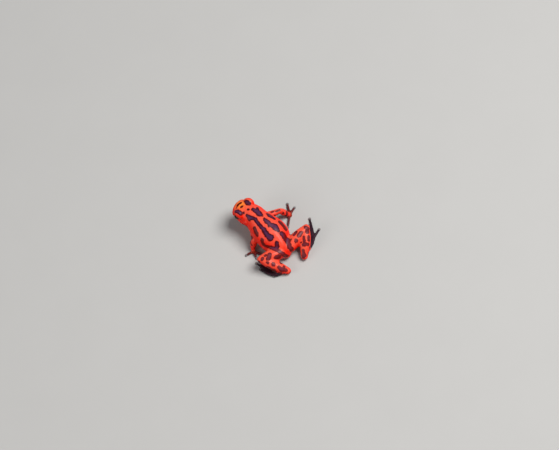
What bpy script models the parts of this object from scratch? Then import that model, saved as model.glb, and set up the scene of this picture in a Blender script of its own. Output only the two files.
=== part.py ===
"""A strawberry poison dart frog squatting at rest, as a life-size still model.

Units are metres, +Z is up, the frog faces -Y and its left side is +X. It rests on z = 0
on its hands, its feet and the underside of its pelvis. Sizes below are in millimetres and
are turned into metres where the meshes are made.
"""

import math

import bmesh
import bpy
import numpy as np
from mathutils import Matrix, Vector

MM = 0.001
GAP = 0.3
WELDS = (0.02, 0.01, 0.005)

# The body is read from the snout back: how far back, the height of the widest line, how far
# the back lies above it and the belly below it, half the width, how much the top narrows, and
# how far the middle lies to the left. The belly sags to the right, as the frog leans on it.
BODY_LENGTH = 20.4
BODY_STATIONS = (
    (0.0, 6.50, 1.30, 0.95, 2.08, 0.10, 0.0),
    (1.5, 6.30, 1.90, 1.40, 2.82, 0.14, 0.0),
    (3.0, 6.10, 2.40, 1.55, 3.12, 0.18, 0.0),
    (4.3, 6.00, 2.70, 1.65, 3.28, 0.18, -0.06),
    (5.6, 5.90, 2.85, 1.80, 3.38, 0.16, -0.13),
    (7.0, 5.75, 2.95, 2.10, 3.42, 0.12, -0.20),
    (8.5, 5.50, 3.05, 2.50, 3.68, 0.08, -0.28),
    (10.5, 4.90, 3.35, 2.80, 4.25, 0.05, -0.38),
    (12.5, 4.20, 3.60, 3.10, 4.60, 0.04, -0.5),
    (14.5, 3.50, 3.70, 3.10, 4.45, 0.04, -0.5),
    (16.5, 2.90, 3.40, 2.95, 3.60, 0.06, -0.35),
    (18.4, 2.40, 2.80, 2.50, 2.50, 0.06, -0.1),
    (19.6, 2.20, 1.90, 1.90, 1.65, 0.04, 0.0),
    (20.4, 2.20, 1.20, 1.40, 1.00, 0.00, 0.0),
)
SNOUT_DOME = 1.1
VENT_DOME = 1.2
NECK = 6.95
BODY_SIDES = 28
RING_STEP = 0.85
DOME_RINGS = 5

EYE_RADIUS = 1.22
EYE_PLACE = (2.2, 3.05, 7.1)
EYE_AXIS = (1.0, -0.25, 0.0)
LID_AXIS = (1.0, -0.25, -0.28)
LID_RADIUS = 1.77
LID_EDGE = 0.62
EYE_SIDES = 28

MOUTH_HEIGHT = 5.95
MOUTH_SLOPE = -0.11
MOUTH_BACK = 5.3
MOUTH_GROOVE = 0.22
GROOVE_DEPTH = 0.24
LIP_HEIGHT = 0.62
LIP_SWELL = 0.10
LIP_END = 0.3

NOSTRIL_BACK = 0.62
NOSTRIL_ANGLE = 28.0
NOSTRIL_RADIUS = 0.2
NOSTRIL_DEPTH = 0.45
EAR_BACK = 6.1
EAR_ANGLE = 12.0
EAR_RADIUS = 0.5
EAR_RIM = 0.10
EAR_SIDES = 20

# The head is turned to the frog's left, with the bend spread along the neck
TURN_DEGREES = 9.0
TURN_PIVOT = (0.0, 5.5)
TURN_FROM = 8.6
TURN_TO = 4.8

# Muscle profiles: how far along the bone, half the width, half the height
UPPER_ARM = ((0.0, 1.25, 1.25), (0.35, 1.02, 1.00), (0.75, 0.84, 0.82), (1.0, 0.76, 0.76))
FOREARM = ((0.0, 0.74, 0.74), (0.30, 1.00, 0.92), (0.70, 0.88, 0.78), (1.0, 0.70, 0.60))
THIGH = ((0.0, 1.85, 1.85), (0.35, 1.90, 1.80), (0.75, 1.52, 1.45), (1.0, 1.12, 1.10))
SHANK = ((0.0, 1.08, 1.04), (0.28, 1.46, 1.36), (0.72, 1.38, 1.22), (1.0, 0.98, 0.88))
TARSUS = ((0.0, 0.64, 0.60), (0.5, 0.60, 0.54), (1.0, 0.64, 0.48))
PALM = ((0.0, 0.52, 0.46), (0.5, 0.78, 0.46), (1.0, 0.70, 0.36))
SOLE = ((0.0, 0.60, 0.46), (0.5, 0.66, 0.42), (1.0, 0.62, 0.36))

# Each segment's first joint, last joint, muscle profile and number of sides
SEGMENTS = {
    "upper_arm": ("shoulder", "elbow", UPPER_ARM, 14),
    "forearm": ("elbow", "wrist", FOREARM, 14),
    "thigh": ("hip", "knee", THIGH, 16),
    "shank": ("knee", "heel", SHANK, 16),
    "tarsus": ("heel", "ankle", TARSUS, 12),
}

DIGIT_RADIUS = 0.30
DIGIT_TAPER = 0.2
DIGIT_STEPS = 3
DIGIT_ROUNDNESS = 2
KNUCKLE_RISE = 0.22
TOE_SPREAD = 0.35
DISC_LENGTH = 0.46
DISC_WIDTH = 0.42
DISC_HEIGHT = 0.26
DISC_AHEAD = 0.1
DIGIT_REST = 0.22
CREASE_DEGREES = 40.0

# Joints of the pose. Hands list the fingers from the innermost, feet the toes likewise.
POSE = {
    "left": {
        "shoulder": (1.9, 8.0, 4.6),
        "elbow": (3.95, 10.6, 4.0),
        "wrist": (5.1, 10.75, 0.95),
        "palm": (5.6, 11.4, 0.42),
        "fingers": ((6.3, 13.5), (4.6, 13.6), (3.0, 10.1), (7.5, 10.8)),
        "hip": (1.35, 18.2, 3.1),
        "knee": (6.65, 16.7, 4.2),
        "heel": (3.2, 22.8, 1.1),
        "ankle": (6.3, 21.0, 0.62),
        "sole": (6.9, 19.6, 0.42),
        "toes": ((5.2, 18.5), (5.7, 17.2), (6.35, 16.1), (7.25, 14.6), (7.9, 16.9)),
    },
    "right": {
        "shoulder": (-2.2, 7.7, 4.6),
        "elbow": (-6.9, 9.0, 3.9),
        "wrist": (-8.5, 9.75, 0.95),
        "palm": (-8.9, 10.15, 0.42),
        "fingers": ((-6.15, 12.4), (-6.2, 9.3), (-10.7, 7.1), (-11.2, 9.3)),
        "hip": (-1.35, 18.6, 3.1),
        "knee": (-8.1, 18.3, 4.2),
        "heel": (-3.0, 22.8, 1.1),
        "ankle": (-7.3, 21.0, 0.62),
        "sole": (-8.9, 19.8, 0.42),
        "toes": ((-8.1, 18.4), (-9.3, 17.7), (-10.25, 16.4), (-11.85, 14.95), (-11.4, 19.2)),
    },
}

SKIN = ((0.85, 0.10, 0.03), 0.35)
DARK_SKIN = ((0.09, 0.07, 0.10), 0.40)
EYE_BLACK = ((0.01, 0.008, 0.008), 0.08)


def clear_scene():
    """Removes everything that the new file came with."""
    for obj in list(bpy.data.objects):
        bpy.data.objects.remove(obj, do_unlink=True)


def new_collection(name):
    """Adds a collection under the scene's own."""
    collection = bpy.data.collections.new(name)
    bpy.context.scene.collection.children.link(collection)
    return collection


def make_material(name, look):
    """A Principled BSDF of one colour and roughness."""
    colour, roughness = look
    material = bpy.data.materials.new(name)
    material.use_nodes = True
    shader = material.node_tree.nodes["Principled BSDF"]
    shader.inputs["Base Color"].default_value = (*colour, 1.0)
    shader.inputs["Roughness"].default_value = roughness
    return material


def read_curve(rows, places):
    """Reads a table, whose first column rises, at new places along a smooth curve through it."""
    table = np.array(rows, float)
    along, values = table[:, 0], table[:, 1:]
    slopes = np.gradient(values, along, axis=0)
    last = len(along) - 2
    left = np.clip(np.searchsorted(along, places, side="right") - 1, 0, last)
    span = (along[left + 1] - along[left])[:, None]
    t = (np.clip(places, along[0], along[-1]) - along[left])[:, None] / span
    start = (2 * t**3 - 3 * t**2 + 1) * values[left]
    start += (t**3 - 2 * t**2 + t) * span * slopes[left]
    end = (3 * t**2 - 2 * t**3) * values[left + 1]
    end += (t**3 - t**2) * span * slopes[left + 1]
    return start + end


def dome(distance, length):
    """How far a rounded end has opened, at a distance from its tip."""
    share = np.clip(distance / length, 0.0, 1.0)
    return np.sqrt(1.0 - (1.0 - share) ** 2)


def ring_places(length, first_dome, last_dome, step):
    """Places of rings along a form, closer together inside its rounded ends."""
    quarter = 1.0 - np.cos(np.linspace(0.0, math.pi / 2, DOME_RINGS + 1))
    middle = max(2, round((length - first_dome - last_dome) / step) + 1)
    between = np.linspace(first_dome, length - last_dome, middle)
    places = [between]
    if first_dome > 0:
        places.insert(0, first_dome * quarter[:-1])
    if last_dome > 0:
        places.append(length - last_dome * quarter[-2::-1])
    return np.concatenate(places)


def mesh_object(name, collection, vertices, faces):
    """A closed mesh object from points in millimetres, with its faces turned outwards."""
    mesh = bpy.data.meshes.new(name)
    mesh.from_pydata((np.array(vertices) * MM).tolist(), [], faces)
    body = bmesh.new()
    body.from_mesh(mesh)
    bmesh.ops.remove_doubles(body, verts=body.verts, dist=1e-7)
    bmesh.ops.recalc_face_normals(body, faces=body.faces)
    body.to_mesh(mesh)
    body.free()
    obj = bpy.data.objects.new(name, mesh)
    collection.objects.link(obj)
    return obj


def loft(name, collection, rings):
    """Joins rings of equal point counts into one closed skin with a fan at each end."""
    count = len(rings[0])
    vertices = [point for ring in rings for point in ring]
    vertices.append(np.mean(rings[0], axis=0))
    vertices.append(np.mean(rings[-1], axis=0))
    first_centre, last_centre = len(vertices) - 2, len(vertices) - 1
    last_ring = (len(rings) - 1) * count
    faces = []
    for side in range(count):
        other = (side + 1) % count
        faces.append((first_centre, other, side))
        faces.append((last_centre, last_ring + side, last_ring + other))
        for ring in range(len(rings) - 1):
            low, high = ring * count, (ring + 1) * count
            faces.append((low + side, low + other, high + other, high + side))
    return mesh_object(name, collection, vertices, faces)


def body_ring(back, opening, grow, sides):
    """One ring of the body's skin, seen from the front."""
    middle, above, below, half, narrow, aside = read_curve(BODY_STATIONS, np.array([back]))[0]
    angles = 2 * math.pi * np.arange(sides) / sides
    across, rise = np.cos(angles), np.sin(angles)
    height = np.where(rise > 0, above, below) + grow
    x = aside + (half + grow) * opening * across * (1 - narrow * rise)
    z = middle + height * opening * rise
    return np.column_stack([x, np.full(sides, back), z])


def body_form(name, collection, start, end, grow=0.0, sides=BODY_SIDES, step=RING_STEP):
    """The body's skin between two places, swollen by grow. Ends of the body are rounded."""
    first_dome = SNOUT_DOME if start <= 0 else 0.0
    last_dome = VENT_DOME if end >= BODY_LENGTH else 0.0
    low = start - grow if first_dome else start
    high = end + grow if last_dome else end
    places = low + ring_places(high - low, first_dome, last_dome, step)
    rings = []
    for back in places:
        opening = 1.0
        if first_dome:
            opening *= dome(back - low, first_dome)
        if last_dome:
            opening *= dome(high - back, last_dome)
        ring = body_ring(back, max(opening, 1e-4), grow, sides)
        rings.append(ring)
    return loft(name, collection, rings)


def body_point(back, degrees):
    """A point of the body's skin on the left side, and the way out from it."""
    opening = dome(back, SNOUT_DOME)
    ring = body_ring(back, opening, 0.0, 360)
    after = body_ring(back + 0.05, dome(back + 0.05, SNOUT_DOME), 0.0, 360)
    index = round(degrees) % 360
    around = ring[(index + 1) % 360] - ring[index - 1]
    along = after[index] - ring[index]
    outward = Vector(np.cross(along, around)).normalized()
    if outward.x < 0:
        outward.negate()
    return Vector(ring[index]), outward


def bone_form(name, collection, start, end, profile, grow=0.0, sides=14):
    """A limb segment: a bone's line with a muscle profile round it and rounded ends."""
    start, end = np.array(start), np.array(end)
    line = end - start
    length = np.linalg.norm(line)
    forward = line / length
    side = np.cross(forward, (0.0, 0.0, 1.0))
    side /= np.linalg.norm(side)
    up = np.cross(side, forward)
    first_dome, last_dome = profile[0][1] + grow, profile[-1][1] + grow
    whole = length + first_dome + last_dome
    rings = []
    for place in ring_places(whole, first_dome, last_dome, RING_STEP):
        along = place - first_dome
        share = np.clip(along / length, 0.0, 1.0)
        half, height = read_curve(profile, np.array([share]))[0] + grow
        opening = dome(place, first_dome) * dome(whole - place, last_dome)
        opening = max(opening, 1e-4)
        centre = start + forward * along
        ring = [
            centre
            + side * half * opening * math.cos(angle)
            + up * height * opening * math.sin(angle)
            for angle in 2 * math.pi * np.arange(sides) / sides
        ]
        rings.append(np.array(ring))
    return loft(name, collection, rings)


def as_mesh(obj, collection):
    """The object as its modifiers and bevels make it, as a plain mesh in place of it."""
    graph = bpy.context.evaluated_depsgraph_get()
    mesh = bpy.data.meshes.new_from_object(obj.evaluated_get(graph))
    name, matrix = obj.name, obj.matrix_world.copy()
    bpy.data.objects.remove(obj, do_unlink=True)
    mesh.transform(matrix)
    body = bmesh.new()
    body.from_mesh(mesh)
    bmesh.ops.remove_doubles(body, verts=body.verts, dist=1e-7)
    bmesh.ops.recalc_face_normals(body, faces=body.faces)
    body.to_mesh(mesh)
    body.free()
    made = bpy.data.objects.new(name, mesh)
    collection.objects.link(made)
    return made


def ball(name, collection, place, radii, turn, segments):
    """An ellipsoid, turned so that its own x runs along turn."""
    mesh = bpy.data.meshes.new(name)
    body = bmesh.new()
    rings = round(segments * 0.6)
    bmesh.ops.create_uvsphere(body, u_segments=segments, v_segments=rings, radius=1.0)
    frame = Vector(turn).to_track_quat("X", "Z").to_matrix().to_4x4()
    shape = Matrix.Translation(Vector(place) * MM) @ frame
    shape = shape @ Matrix.Diagonal((*[radius * MM for radius in radii], 1.0))
    bmesh.ops.transform(body, matrix=shape, verts=body.verts)
    body.to_mesh(mesh)
    body.free()
    obj = bpy.data.objects.new(name, mesh)
    collection.objects.link(obj)
    return obj


def box(name, collection, low, high, tilt=0.0, pivot=(0.0, 0.0, 0.0)):
    """A box between two corners, tilted about the X axis through a pivot."""
    mesh = bpy.data.meshes.new(name)
    body = bmesh.new()
    bmesh.ops.create_cube(body, size=1.0)
    low, high = Vector(low), Vector(high)
    size = Matrix.Diagonal((*((high - low) * MM), 1.0))
    place = Matrix.Translation((low + high) / 2 * MM)
    hinge = Matrix.Translation(Vector(pivot) * MM)
    turn = hinge @ Matrix.Rotation(tilt, 4, "X") @ hinge.inverted()
    bmesh.ops.transform(body, matrix=turn @ place @ size, verts=body.verts)
    body.to_mesh(mesh)
    body.free()
    obj = bpy.data.objects.new(name, mesh)
    collection.objects.link(obj)
    return obj


def ring_tube(name, collection, place, axis, radius, thickness):
    """A torus round an axis, made from a circle curve with a bevel."""
    curve = bpy.data.curves.new(name, "CURVE")
    curve.dimensions = "3D"
    curve.bevel_depth = thickness * MM
    curve.bevel_resolution = 1
    spline = curve.splines.new("POLY")
    spline.points.add(EAR_SIDES - 1)
    for index, point in enumerate(spline.points):
        angle = 2 * math.pi * index / EAR_SIDES
        point.co = (radius * MM * math.cos(angle), radius * MM * math.sin(angle), 0.0, 1.0)
    spline.use_cyclic_u = True
    obj = bpy.data.objects.new(name, curve)
    collection.objects.link(obj)
    frame = Vector(axis).to_track_quat("Z", "Y").to_matrix().to_4x4()
    obj.matrix_world = Matrix.Translation(Vector(place) * MM) @ frame
    bpy.context.view_layer.update()
    return as_mesh(obj, collection)


def weld_short_edges(body):
    """A copy without short edges, welded as far as the surface stays closed."""
    for distance in WELDS:
        welded = body.copy()
        bmesh.ops.remove_doubles(welded, verts=welded.verts, dist=distance * MM)
        bmesh.ops.dissolve_degenerate(welded, edges=welded.edges, dist=distance * MM)
        if all(len(edge.link_faces) == 2 for edge in welded.edges):
            return welded
        welded.free()
    return body.copy()


def keep_largest(obj):
    """Leaves only the largest closed surface of a mesh, as triangles with no slivers."""
    body = bmesh.new()
    body.from_mesh(obj.data)
    body.verts.index_update()
    seen, groups = set(), []
    for first in body.verts:
        if first.index in seen:
            continue
        group, edge = [], [first]
        seen.add(first.index)
        while edge:
            vertex = edge.pop()
            group.append(vertex)
            for other in [link.other_vert(vertex) for link in vertex.link_edges]:
                if other.index not in seen:
                    seen.add(other.index)
                    edge.append(other)
        groups.append(group)
    groups.sort(key=len)
    loose = [vertex for group in groups[:-1] for vertex in group]
    bmesh.ops.delete(body, geom=loose, context="VERTS")
    welded = weld_short_edges(body)
    bmesh.ops.triangulate(welded, faces=welded.faces)
    welded.to_mesh(obj.data)
    welded.free()
    body.free()


def combine(obj, others, operation, collection):
    """Applies one Boolean with a group of closed meshes, and removes them."""
    group = bpy.data.collections.new(f"{obj.name} tools")
    bpy.context.scene.collection.children.link(group)
    for other in others:
        for home in list(other.users_collection):
            home.objects.unlink(other)
        group.objects.link(other)
    modifier = obj.modifiers.new(operation.title(), "BOOLEAN")
    modifier.operation = operation
    modifier.operand_type = "COLLECTION"
    modifier.collection = group
    modifier.solver = "EXACT"
    bpy.context.view_layer.update()
    made = as_mesh(obj, collection)
    for other in others:
        bpy.data.objects.remove(other, do_unlink=True)
    bpy.data.collections.remove(group)
    keep_largest(made)
    return made


def mirrored(point, side):
    """The same place on the frog's left or right side."""
    return (abs(point[0]) * side, point[1], point[2])


def mouth_slab(name, tools, back, height):
    """A flat slab along the mouth line, from before the snout to the mouth's corner."""
    reach = 2 * max(station[4] for station in BODY_STATIONS)
    low = (-reach, -reach, MOUTH_HEIGHT - height / 2)
    high = (reach, back, MOUTH_HEIGHT + height / 2)
    return box(name, tools, low, high, math.atan(MOUTH_SLOPE), (0.0, 0.0, MOUTH_HEIGHT))


def make_lips(tools):
    """The swollen band round the mouth, and the groove that parts it."""
    lips = body_form("lips", tools, 0.0, NECK - GAP / 2, grow=LIP_SWELL)
    band = mouth_slab("lip band", tools, MOUTH_BACK + LIP_END, LIP_HEIGHT)
    lips = combine(lips, [band], "INTERSECT", tools)
    groove = mouth_slab("mouth line", tools, MOUTH_BACK, MOUTH_GROOVE)
    inside = body_form("inside", tools, 0.0, NECK + GAP, grow=-GROOVE_DEPTH)
    return lips, combine(groove, [inside], "DIFFERENCE", tools)


def make_lid(side, tools):
    """A ball round the eye, cut off where the lids open."""
    axis = Vector(mirrored(LID_AXIS, side)).normalized()
    place = Vector(mirrored(EYE_PLACE, side))
    lid = ball(f"lid {side}", tools, place, [LID_RADIUS] * 3, axis, EYE_SIDES)
    low = (LID_EDGE, -2 * LID_RADIUS, -2 * LID_RADIUS)
    high = (2 * LID_RADIUS, 2 * LID_RADIUS, 2 * LID_RADIUS)
    opening = box(f"opening {side}", tools, low, high)
    turn = axis.to_track_quat("X", "Z").to_matrix().to_4x4()
    opening.data.transform(Matrix.Translation(place * MM) @ turn)
    return combine(lid, [opening], "DIFFERENCE", tools)


def on_body(back, degrees, side):
    """A point of the body's skin on either side, and the way out from it."""
    place, outward = body_point(back, degrees)
    place.x *= side
    outward.x *= side
    return place, outward


def make_head(frog, tools):
    """The head with its lids, lips, nostrils and ears, open at the mouth line and eye sockets."""
    head = body_form("head", frog, 0.0, NECK - GAP / 2)
    lips, groove = make_lips(tools)
    added, cut = [lips], [groove]
    for side in (1, -1):
        added.append(make_lid(side, tools))
        place, axis = Vector(mirrored(EYE_PLACE, side)), Vector(mirrored(EYE_AXIS, side))
        cut.append(ball(f"socket {side}", tools, place, [EYE_RADIUS + GAP] * 3, axis, EYE_SIDES))
        place, outward = on_body(NOSTRIL_BACK, NOSTRIL_ANGLE, side)
        radii = (NOSTRIL_DEPTH, NOSTRIL_RADIUS, NOSTRIL_RADIUS)
        cut.append(ball(f"nostril {side}", tools, place, radii, outward, 12))
        place, outward = on_body(EAR_BACK, EAR_ANGLE, side)
        added.append(ring_tube(f"ear rim {side}", tools, place, outward, EAR_RADIUS, EAR_RIM))
    head = combine(head, added, "UNION", frog)
    return combine(head, cut, "DIFFERENCE", frog)


def make_eye(name, frog, side):
    """The eyeball, a ball that stands clear of its socket."""
    axis = Vector(mirrored(EYE_AXIS, side))
    return ball(name, frog, mirrored(EYE_PLACE, side), [EYE_RADIUS] * 3, axis, 20)


def digit(name, tools, base, tip):
    """A finger or toe that arches from its base to the flat disc at its tip."""
    base = Vector(base)
    end = Vector((tip[0], tip[1], DIGIT_REST))
    run = (end - base).normalized()
    curve = bpy.data.curves.new(name, "CURVE")
    curve.dimensions = "3D"
    curve.bevel_depth = DIGIT_RADIUS * MM
    curve.bevel_resolution = DIGIT_ROUNDNESS
    curve.use_fill_caps = True
    spline = curve.splines.new("POLY")
    spline.points.add(DIGIT_STEPS)
    for index, point in enumerate(spline.points):
        share = index / DIGIT_STEPS
        centre = base.lerp(end, share)
        centre.z += KNUCKLE_RISE * math.sin(math.pi * share)
        point.co = (*(centre * MM), 1.0)
        point.radius = 1 + DIGIT_TAPER * (0.6 - share)
    obj = bpy.data.objects.new(name, curve)
    tools.objects.link(obj)
    bpy.context.view_layer.update()
    tube = as_mesh(obj, tools)
    radii = (DISC_LENGTH, DISC_WIDTH, DISC_HEIGHT)
    flat_run = (run.x, run.y, 0.0)
    disc = ball(f"{name} disc", tools, end + run * DISC_AHEAD, radii, flat_run, 10)
    return [tube, disc]


def make_digits(name, frog, tools, root, end, profile, tips, spread=0.0):
    """A palm or sole and its digits, fused into one piece. Their bases are spread across it."""
    base = bone_form(name, frog, root, end, profile, sides=12)
    forward = Vector(end) - Vector(root)
    across = Vector((forward.y, -forward.x, 0.0)).normalized()
    if across.dot(Vector((*tips[-1], 0.0)) - Vector((*tips[0], 0.0))) < 0:
        across.negate()
    pieces = []
    for index, tip in enumerate(tips):
        aside = spread * (2 * index / (len(tips) - 1) - 1)
        pieces += digit(f"{name} digit {index + 1}", tools, Vector(end) + across * aside, tip)
    return combine(base, pieces, "UNION", frog)


def make_limb(frog, tools, side):
    """One arm and one leg. Each segment is cut clear of those that it meets."""
    joints = POSE[side]

    def segment(name, room=False):
        start, end, profile, sides = SEGMENTS[name]
        if room:
            title = f"{name} {side} room"
            return bone_form(title, tools, joints[start], joints[end], profile, GAP, sides)
        title = f"{name}_{side}"
        return bone_form(title, frog, joints[start], joints[end], profile, 0.0, sides)

    def clear_of(obj, *names):
        return combine(obj, [segment(name, room=True) for name in names], "DIFFERENCE", frog)

    def clear_of_body(obj):
        room = body_form("body room", tools, 0.0, BODY_LENGTH, grow=GAP)
        return combine(obj, [room], "DIFFERENCE", frog)

    hand_joints = (joints["wrist"], joints["palm"], PALM, joints["fingers"])
    foot_joints = (joints["ankle"], joints["sole"], SOLE, joints["toes"])
    hand = make_digits(f"hand_{side}", frog, tools, *hand_joints)
    foot = make_digits(f"foot_{side}", frog, tools, *foot_joints, spread=TOE_SPREAD)
    return {
        "upper_arm": clear_of_body(segment("upper_arm")),
        "forearm": clear_of(segment("forearm"), "upper_arm"),
        "hand": clear_of(hand, "forearm"),
        "thigh": clear_of_body(segment("thigh")),
        "shank": clear_of(segment("shank"), "thigh"),
        "tarsus": clear_of(segment("tarsus"), "shank", "thigh"),
        "foot": clear_of(foot, "tarsus", "shank", "thigh"),
    }


def turn_head(obj):
    """Turns what lies before the neck about its pivot, less and less along the neck."""
    for vertex in obj.data.vertices:
        share = (TURN_FROM - vertex.co.y / MM) / (TURN_FROM - TURN_TO)
        share = min(max(share, 0.0), 1.0)
        angle = math.radians(TURN_DEGREES) * share * share * (3 - 2 * share)
        pivot = Vector((*TURN_PIVOT, 0.0)) * MM
        vertex.co = pivot + Matrix.Rotation(angle, 3, "Z") @ (vertex.co - pivot)


def flatten_under(obj, frog, tools):
    """Cuts off what lies below the floor."""
    lowest = min(vertex.co.z for vertex in obj.data.vertices)
    if lowest >= 0:
        return obj
    reach = 2 * BODY_LENGTH
    ground = box(f"{obj.name} ground", tools, (-reach, -reach, -reach), (reach, reach, 0.0))
    return combine(obj, [ground], "DIFFERENCE", frog)


def finish(obj, material):
    """Gives a node its material and a smooth look with its creases kept."""
    obj.data.materials.clear()
    obj.data.materials.append(material)
    obj.data.shade_smooth()
    obj.data.set_sharp_from_angle(angle=math.radians(CREASE_DEGREES))


def stand_at_origin(nodes, frog):
    """Parents every node to an empty, so that the whole is centred over the origin."""
    corners = np.array([vertex.co for obj in nodes for vertex in obj.data.vertices])
    middle = (corners.min(axis=0) + corners.max(axis=0)) / 2
    root = bpy.data.objects.new("frog", None)
    frog.objects.link(root)
    root.location = (-middle[0], -middle[1], 0.0)
    for obj in nodes:
        obj.parent = root


def main():
    clear_scene()
    frog = new_collection("strawberry_poison_dart_frog")
    tools = new_collection("cutters")
    skin = make_material("skin", SKIN)
    dark_skin = make_material("dark_skin", DARK_SKIN)
    eye_black = make_material("eye", EYE_BLACK)
    painted = [
        (make_head(frog, tools), skin),
        (body_form("torso", frog, NECK + GAP / 2, BODY_LENGTH), skin),
        (make_eye("eye_left", frog, 1), eye_black),
        (make_eye("eye_right", frog, -1), eye_black),
    ]
    turned = [obj for obj, _ in painted]
    for side in POSE:
        limb = make_limb(frog, tools, side)
        turned.append(limb["upper_arm"])
        for segment, obj in limb.items():
            painted.append((obj, dark_skin if segment in ("hand", "foot") else skin))
    for obj in turned:
        turn_head(obj)
    nodes = []
    for obj, material in painted:
        obj = flatten_under(obj, frog, tools)
        finish(obj, material)
        nodes.append(obj)
    stand_at_origin(nodes, frog)


main()
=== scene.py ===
# %% [markdown]
# # A strawberry poison dart frog, life-size
#
# The real animal is a frog about 21 mm long that squats with its belly nearly on the ground.
# Its moist skin is red with dark blotches, its hands and feet are dark, its eyes are black.
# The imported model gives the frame: eighteen closed solids, from the head to the toes, with
# thin gaps between them. This lesson grows one skin over the sixteen solids of flesh, gives
# it the folds of a real head, sets two wet eyes in it and paints the markings by rule.

# %% Load the frame
import math

import bpy
import numpy as np
from mathutils import Matrix, Vector
from mathutils.bvhtree import BVHTree


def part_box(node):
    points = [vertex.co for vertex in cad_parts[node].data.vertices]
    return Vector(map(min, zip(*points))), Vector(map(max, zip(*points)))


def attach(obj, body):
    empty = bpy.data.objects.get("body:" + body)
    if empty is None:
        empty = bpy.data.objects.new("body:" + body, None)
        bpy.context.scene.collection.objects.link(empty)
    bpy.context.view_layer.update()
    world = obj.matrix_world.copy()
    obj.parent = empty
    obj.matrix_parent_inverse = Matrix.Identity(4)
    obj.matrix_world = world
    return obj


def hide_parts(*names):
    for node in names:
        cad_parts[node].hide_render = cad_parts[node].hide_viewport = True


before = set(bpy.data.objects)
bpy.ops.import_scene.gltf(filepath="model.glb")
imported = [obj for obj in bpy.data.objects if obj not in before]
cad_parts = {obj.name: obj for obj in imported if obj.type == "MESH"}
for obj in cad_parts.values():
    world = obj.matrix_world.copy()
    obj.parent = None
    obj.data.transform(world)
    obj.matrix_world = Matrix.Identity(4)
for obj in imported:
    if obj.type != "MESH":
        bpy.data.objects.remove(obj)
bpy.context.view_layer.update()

# %% [markdown]
# ## A frame of the frog's own
#
# Every size below is in millimetres, in a frame in which the frog looks straight ahead: x
# runs to its left, y runs back along the body from the snout, z runs up from the floor. The
# real frog holds its head some 9 degrees to its left. In the solids all that lies ahead of
# the shoulders is turned about a point in the neck, the more the nearer it is to the snout.
# Lids, lips and nostrils are easier to shape on a straight head, so the copies are put
# straight first and the finished skin is turned again at the end.

# %% Turning the head
TURN_ANGLE = math.radians(9.0)
TURN_PIVOT = (0.0, 5.5)
TURN_FROM, TURN_TO = 8.6, 4.8
TURNED = ("head", "torso", "eye_left", "eye_right", "upper_arm_left", "upper_arm_right")


def ramp(values, start, end):
    """0 before start and 1 after end, with a soft turn between."""
    share = np.clip((values - start) / (end - start), 0.0, 1.0)
    return share * share * (3 - 2 * share)


def turned_by(points, angles):
    """Points turned about the upright line through the pivot, each by its own angle."""
    turned = np.array(points, float)
    across, along = turned[..., 0] - TURN_PIVOT[0], turned[..., 1] - TURN_PIVOT[1]
    turned[..., 0] = TURN_PIVOT[0] + across * np.cos(angles) - along * np.sin(angles)
    turned[..., 1] = TURN_PIVOT[1] + across * np.sin(angles) + along * np.cos(angles)
    return turned


def turn_at(points):
    """How far a straight point is turned."""
    return TURN_ANGLE * ramp(-np.asarray(points)[..., 1], -TURN_FROM, -TURN_TO)


def turn(points):
    """Straight points, turned as the frog holds its head."""
    return turned_by(points, turn_at(points))


def straighten(points):
    """Turned points put straight, by closing in on the points that turn into them."""
    straight = np.array(points, float)
    for _ in range(12):
        straight = turned_by(points, -turn_at(straight))
    return straight


# %% Millimetres on the frog
# The left eye's solid says where the frog's frame lies in the row frame, so nothing has to
# be moved by hand when the solids are packed again.
MM = 0.001
EYE_CENTRE = np.array((2.2, 3.05, 7.1))
EYE_AXIS = np.array((1.0, -0.25, 0.0))
SIDES = (("left", 1), ("right", -1))

eye_low, eye_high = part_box("eye_left")
SNOUT_FOOT = np.array((eye_low + eye_high) / 2) / MM - turn(EYE_CENTRE)


def to_frog(points):
    """Row frame, metres, to the frog's own frame, millimetres."""
    return np.asarray(points, float) / MM - SNOUT_FOOT


def to_row(points):
    """The frog's own frame, millimetres, to the row frame, metres."""
    return (np.asarray(points, float) + SNOUT_FOOT) * MM


def on_side(point, side):
    """The same place on the frog's left, side 1, or right, side -1."""
    return np.array((point[0] * side, point[1], point[2]), float)


print("the snout stands over", to_row((0, 0, 0)))

# %% [markdown]
# ## One skin over all the flesh
#
# A real frog has one skin from lip to toe, with soft creases where its limbs fold. It could
# be modelled by pulling limbs out of one cage, but the solids already have the right form,
# so each is copied, its loose triangles are merged, and it is swollen by half the gap that
# divides it from its neighbours. The copies then touch, and a voxel remesh makes one closed
# surface of them. A copy of each eyeball goes in too, so that its socket is filled and the
# lids can be drawn on a whole form. All this is done at a thousand times life size, where a
# unit is a millimetre, because Blender's smallest voxel is a tenth of a unit.

# %% Pick, edit and apply
HALF_GAP = 0.17
VOXEL = 0.1


def pick(*objects):
    """Selects only these objects and makes the first one active."""
    bpy.ops.object.select_all(action="DESELECT")
    for obj in objects:
        obj.select_set(True)
    bpy.context.view_layer.objects.active = objects[0]


def apply_modifier(obj, kind, **settings):
    """Adds one modifier, sets it and applies it."""
    pick(obj)
    modifier = obj.modifiers.new(kind.title(), kind)
    for name, value in settings.items():
        setattr(modifier, name, value)
    bpy.ops.object.modifier_apply(modifier=modifier.name)


def merge_loose(obj, distance=0.001):
    """Merges a mesh's doubles and turns its faces outwards."""
    pick(obj)
    bpy.ops.object.mode_set(mode="EDIT")
    bpy.ops.mesh.select_all(action="SELECT")
    bpy.ops.mesh.remove_doubles(threshold=distance)
    bpy.ops.mesh.normals_make_consistent(inside=False)
    bpy.ops.object.mode_set(mode="OBJECT")


def points_of(obj):
    """The places of a mesh's points, as an array."""
    places = np.empty(len(obj.data.vertices) * 3, np.float32)
    obj.data.vertices.foreach_get("co", places)
    return places.reshape(-1, 3).astype(float)


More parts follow.
